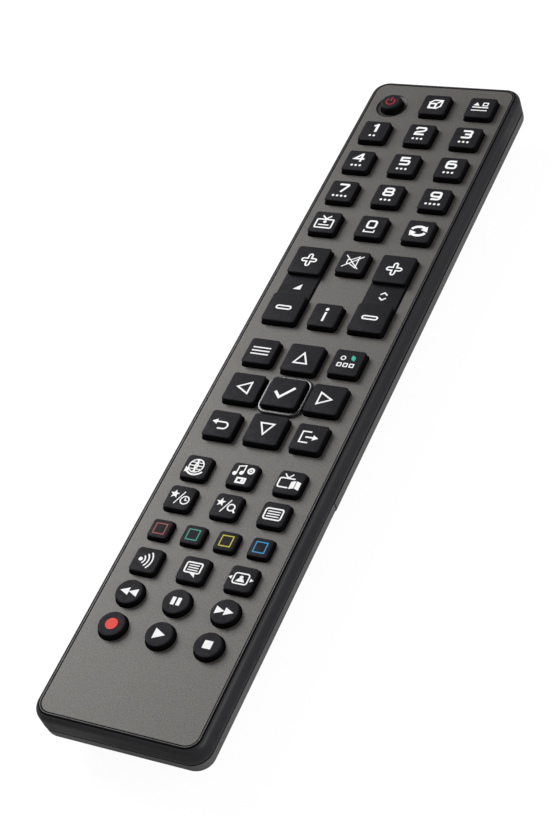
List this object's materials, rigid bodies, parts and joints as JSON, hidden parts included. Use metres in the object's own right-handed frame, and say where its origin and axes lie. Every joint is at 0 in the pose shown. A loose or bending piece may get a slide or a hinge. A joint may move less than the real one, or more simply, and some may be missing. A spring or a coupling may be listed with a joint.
{
  "type": "television remote control",
  "caption": "Long hand-held television remote control with raised rubber keys, tilting rockers, a direction pad, colour keys and a slide-off battery door.",
  "frame": {"origin": "under the middle of the flat underside, on the surface that the remote lies on", "axes": "+X to the right of the keys, +Y towards the end with the power key, +Z out of the keys"},
  "size_m": [0.0458, 0.2228, 0.0178],
  "materials": {
    "housing_dark": "satin moulded plastic",
    "housing_base": "finely textured moulded plastic",
    "plate": "metallic warm grey paint with a fine grain",
    "key_rubber": "matte silicone rubber",
    "web_rubber": "matte silicone rubber",
    "ring": "polished plastic",
    "board": "lacquered circuit board",
    "chip": "moulded package",
    "lamp": "tinted clear plastic",
    "window": "dark infra-red filter",
    "cell": "plain printed steel can",
    "contact": "plated spring steel"
  },
  "bodies": {
    "housing": {"lower_housing": "housing_base", "upper_housing": "housing_dark", "faceplate": "plate", "ok_ring": "ring", "keypad_web": "web_rubber", "circuit_board": "board", "controller_chip": "chip", "ir_lamp": "lamp", "ir_window": "window", "battery_cells": "cell", "contact_plates": "contact", "contact_springs": "contact"},
    "battery_door": {"battery_door": "housing_base"},
    "key_volume": {"key_volume": "key_rubber"},
    "key_programme": {"key_programme": "key_rubber"},
    "key_power": {"key_power": "key_rubber"},
    "key_depth": {"key_depth": "key_rubber"},
    "key_source": {"key_source": "key_rubber"},
    "key_1": {"key_1": "key_rubber"},
    "key_2": {"key_2": "key_rubber"},
    "key_3": {"key_3": "key_rubber"},
    "key_4": {"key_4": "key_rubber"},
    "key_5": {"key_5": "key_rubber"},
    "key_6": {"key_6": "key_rubber"},
    "key_7": {"key_7": "key_rubber"},
    "key_8": {"key_8": "key_rubber"},
    "key_9": {"key_9": "key_rubber"},
    "key_television": {"key_television": "key_rubber"},
    "key_0": {"key_0": "key_rubber"},
    "key_swap": {"key_swap": "key_rubber"},
    "key_mute": {"key_mute": "key_rubber"},
    "key_info": {"key_info": "key_rubber"},
    "key_menu": {"key_menu": "key_rubber"},
    "key_quick_menu": {"key_quick_menu": "key_rubber"},
    "key_back": {"key_back": "key_rubber"},
    "key_exit": {"key_exit": "key_rubber"},
    "key_up": {"key_up": "key_rubber"},
    "key_down": {"key_down": "key_rubber"},
    "key_left": {"key_left": "key_rubber"},
    "key_right": {"key_right": "key_rubber"},
    "key_ok": {"key_ok": "key_rubber"},
    "key_globe": {"key_globe": "key_rubber"},
    "key_media": {"key_media": "key_rubber"},
    "key_guide": {"key_guide": "key_rubber"},
    "key_timer": {"key_timer": "key_rubber"},
    "key_find": {"key_find": "key_rubber"},
    "key_text": {"key_text": "key_rubber"},
    "key_red": {"key_red": "key_rubber"},
    "key_green": {"key_green": "key_rubber"},
    "key_yellow": {"key_yellow": "key_rubber"},
    "key_blue": {"key_blue": "key_rubber"},
    "key_language": {"key_language": "key_rubber"},
    "key_subtitle": {"key_subtitle": "key_rubber"},
    "key_screen": {"key_screen": "key_rubber"},
    "key_rewind": {"key_rewind": "key_rubber"},
    "key_pause": {"key_pause": "key_rubber"},
    "key_forward": {"key_forward": "key_rubber"},
    "key_record": {"key_record": "key_rubber"},
    "key_play": {"key_play": "key_rubber"},
    "key_stop": {"key_stop": "key_rubber"}
  },
  "joints": [
    {"name": "battery_door_slide", "type": "slide", "parent": "housing", "child": "battery_door", "axis": [0, -1, 0], "range_m": [0, 0.08]},
    {"name": "key_volume_tilt", "type": "hinge", "parent": "housing", "child": "key_volume", "pos_m": [-0.0126, 0.0275, 0.0149], "axis": [1, 0, 0], "range_deg": [-3.2, 3.2], "stiffness_Nm_per_rad": 0.15},
    {"name": "key_programme_tilt", "type": "hinge", "parent": "housing", "child": "key_programme", "pos_m": [0.0126, 0.0275, 0.0149], "axis": [1, 0, 0], "range_deg": [-3.2, 3.2], "stiffness_Nm_per_rad": 0.15},
    {"name": "key_power_press", "type": "slide", "parent": "housing", "child": "key_power", "axis": [0, 0, -1], "range_m": [0, 0.0008], "stiffness_N_per_m": 200},
    {"name": "key_depth_press", "type": "slide", "parent": "housing", "child": "key_depth", "axis": [0, 0, -1], "range_m": [0, 0.0008], "stiffness_N_per_m": 200},
    {"name": "key_source_press", "type": "slide", "parent": "housing", "child": "key_source", "axis": [0, 0, -1], "range_m": [0, 0.0008], "stiffness_N_per_m": 200},
    {"name": "key_1_press", "type": "slide", "parent": "housing", "child": "key_1", "axis": [0, 0, -1], "range_m": [0, 0.0008], "stiffness_N_per_m": 200},
    {"name": "key_2_press", "type": "slide", "parent": "housing", "child": "key_2", "axis": [0, 0, -1], "range_m": [0, 0.0008], "stiffness_N_per_m": 200},
    {"name": "key_3_press", "type": "slide", "parent": "housing", "child": "key_3", "axis": [0, 0, -1], "range_m": [0, 0.0008], "stiffness_N_per_m": 200},
    {"name": "key_4_press", "type": "slide", "parent": "housing", "child": "key_4", "axis": [0, 0, -1], "range_m": [0, 0.0008], "stiffness_N_per_m": 200},
    {"name": "key_5_press", "type": "slide", "parent": "housing", "child": "key_5", "axis": [0, 0, -1], "range_m": [0, 0.0008], "stiffness_N_per_m": 200},
    {"name": "key_6_press", "type": "slide", "parent": "housing", "child": "key_6", "axis": [0, 0, -1], "range_m": [0, 0.0008], "stiffness_N_per_m": 200},
    {"name": "key_7_press", "type": "slide", "parent": "housing", "child": "key_7", "axis": [0, 0, -1], "range_m": [0, 0.0008], "stiffness_N_per_m": 200},
    {"name": "key_8_press", "type": "slide", "parent": "housing", "child": "key_8", "axis": [0, 0, -1], "range_m": [0, 0.0008], "stiffness_N_per_m": 200},
    {"name": "key_9_press", "type": "slide", "parent": "housing", "child": "key_9", "axis": [0, 0, -1], "range_m": [0, 0.0008], "stiffness_N_per_m": 200},
    {"name": "key_television_press", "type": "slide", "parent": "housing", "child": "key_television", "axis": [0, 0, -1], "range_m": [0, 0.0008], "stiffness_N_per_m": 200},
    {"name": "key_0_press", "type": "slide", "parent": "housing", "child": "key_0", "axis": [0, 0, -1], "range_m": [0, 0.0008], "stiffness_N_per_m": 200},
    {"name": "key_swap_press", "type": "slide", "parent": "housing", "child": "key_swap", "axis": [0, 0, -1], "range_m": [0, 0.0008], "stiffness_N_per_m": 200},
    {"name": "key_mute_press", "type": "slide", "parent": "housing", "child": "key_mute", "axis": [0, 0, -1], "range_m": [0, 0.0008], "stiffness_N_per_m": 200},
    {"name": "key_info_press", "type": "slide", "parent": "housing", "child": "key_info", "axis": [0, 0, -1], "range_m": [0, 0.0008], "stiffness_N_per_m": 200},
    {"name": "key_menu_press", "type": "slide", "parent": "housing", "child": "key_menu", "axis": [0, 0, -1], "range_m": [0, 0.0008], "stiffness_N_per_m": 200},
    {"name": "key_quick_menu_press", "type": "slide", "parent": "housing", "child": "key_quick_menu", "axis": [0, 0, -1], "range_m": [0, 0.0008], "stiffness_N_per_m": 200},
    {"name": "key_back_press", "type": "slide", "parent": "housing", "child": "key_back", "axis": [0, 0, -1], "range_m": [0, 0.0008], "stiffness_N_per_m": 200},
    {"name": "key_exit_press", "type": "slide", "parent": "housing", "child": "key_exit", "axis": [0, 0, -1], "range_m": [0, 0.0008], "stiffness_N_per_m": 200},
    {"name": "key_up_press", "type": "slide", "parent": "housing", "child": "key_up", "axis": [0, 0, -1], "range_m": [0, 0.0008], "stiffness_N_per_m": 200},
    {"name": "key_down_press", "type": "slide", "parent": "housing", "child": "key_down", "axis": [0, 0, -1], "range_m": [0, 0.0008], "stiffness_N_per_m": 200},
    {"name": "key_left_press", "type": "slide", "parent": "housing", "child": "key_left", "axis": [0, 0, -1], "range_m": [0, 0.0008], "stiffness_N_per_m": 200},
    {"name": "key_right_press", "type": "slide", "parent": "housing", "child": "key_right", "axis": [0, 0, -1], "range_m": [0, 0.0008], "stiffness_N_per_m": 200},
    {"name": "key_ok_press", "type": "slide", "parent": "housing", "child": "key_ok", "axis": [0, 0, -1], "range_m": [0, 0.0008], "stiffness_N_per_m": 200},
    {"name": "key_globe_press", "type": "slide", "parent": "housing", "child": "key_globe", "axis": [0, 0, -1], "range_m": [0, 0.0008], "stiffness_N_per_m": 200},
    {"name": "key_media_press", "type": "slide", "parent": "housing", "child": "key_media", "axis": [0, 0, -1], "range_m": [0, 0.0008], "stiffness_N_per_m": 200},
    {"name": "key_guide_press", "type": "slide", "parent": "housing", "child": "key_guide", "axis": [0, 0, -1], "range_m": [0, 0.0008], "stiffness_N_per_m": 200},
    {"name": "key_timer_press", "type": "slide", "parent": "housing", "child": "key_timer", "axis": [0, 0, -1], "range_m": [0, 0.0008], "stiffness_N_per_m": 200},
    {"name": "key_find_press", "type": "slide", "parent": "housing", "child": "key_find", "axis": [0, 0, -1], "range_m": [0, 0.0008], "stiffness_N_per_m": 200},
    {"name": "key_text_press", "type": "slide", "parent": "housing", "child": "key_text", "axis": [0, 0, -1], "range_m": [0, 0.0008], "stiffness_N_per_m": 200},
    {"name": "key_red_press", "type": "slide", "parent": "housing", "child": "key_red", "axis": [0, 0, -1], "range_m": [0, 0.0008], "stiffness_N_per_m": 200},
    {"name": "key_green_press", "type": "slide", "parent": "housing", "child": "key_green", "axis": [0, 0, -1], "range_m": [0, 0.0008], "stiffness_N_per_m": 200},
    {"name": "key_yellow_press", "type": "slide", "parent": "housing", "child": "key_yellow", "axis": [0, 0, -1], "range_m": [0, 0.0008], "stiffness_N_per_m": 200},
    {"name": "key_blue_press", "type": "slide", "parent": "housing", "child": "key_blue", "axis": [0, 0, -1], "range_m": [0, 0.0008], "stiffness_N_per_m": 200},
    {"name": "key_language_press", "type": "slide", "parent": "housing", "child": "key_language", "axis": [0, 0, -1], "range_m": [0, 0.0008], "stiffness_N_per_m": 200},
    {"name": "key_subtitle_press", "type": "slide", "parent": "housing", "child": "key_subtitle", "axis": [0, 0, -1], "range_m": [0, 0.0008], "stiffness_N_per_m": 200},
    {"name": "key_screen_press", "type": "slide", "parent": "housing", "child": "key_screen", "axis": [0, 0, -1], "range_m": [0, 0.0008], "stiffness_N_per_m": 200},
    {"name": "key_rewind_press", "type": "slide", "parent": "housing", "child": "key_rewind", "axis": [0, 0, -1], "range_m": [0, 0.0008], "stiffness_N_per_m": 200},
    {"name": "key_pause_press", "type": "slide", "parent": "housing", "child": "key_pause", "axis": [0, 0, -1], "range_m": [0, 0.0008], "stiffness_N_per_m": 200},
    {"name": "key_forward_press", "type": "slide", "parent": "housing", "child": "key_forward", "axis": [0, 0, -1], "range_m": [0, 0.0008], "stiffness_N_per_m": 200},
    {"name": "key_record_press", "type": "slide", "parent": "housing", "child": "key_record", "axis": [0, 0, -1], "range_m": [0, 0.0008], "stiffness_N_per_m": 200},
    {"name": "key_play_press", "type": "slide", "parent": "housing", "child": "key_play", "axis": [0, 0, -1], "range_m": [0, 0.0008], "stiffness_N_per_m": 200},
    {"name": "key_stop_press", "type": "slide", "parent": "housing", "child": "key_stop", "axis": [0, 0, -1], "range_m": [0, 0.0008], "stiffness_N_per_m": 200}
  ]
}
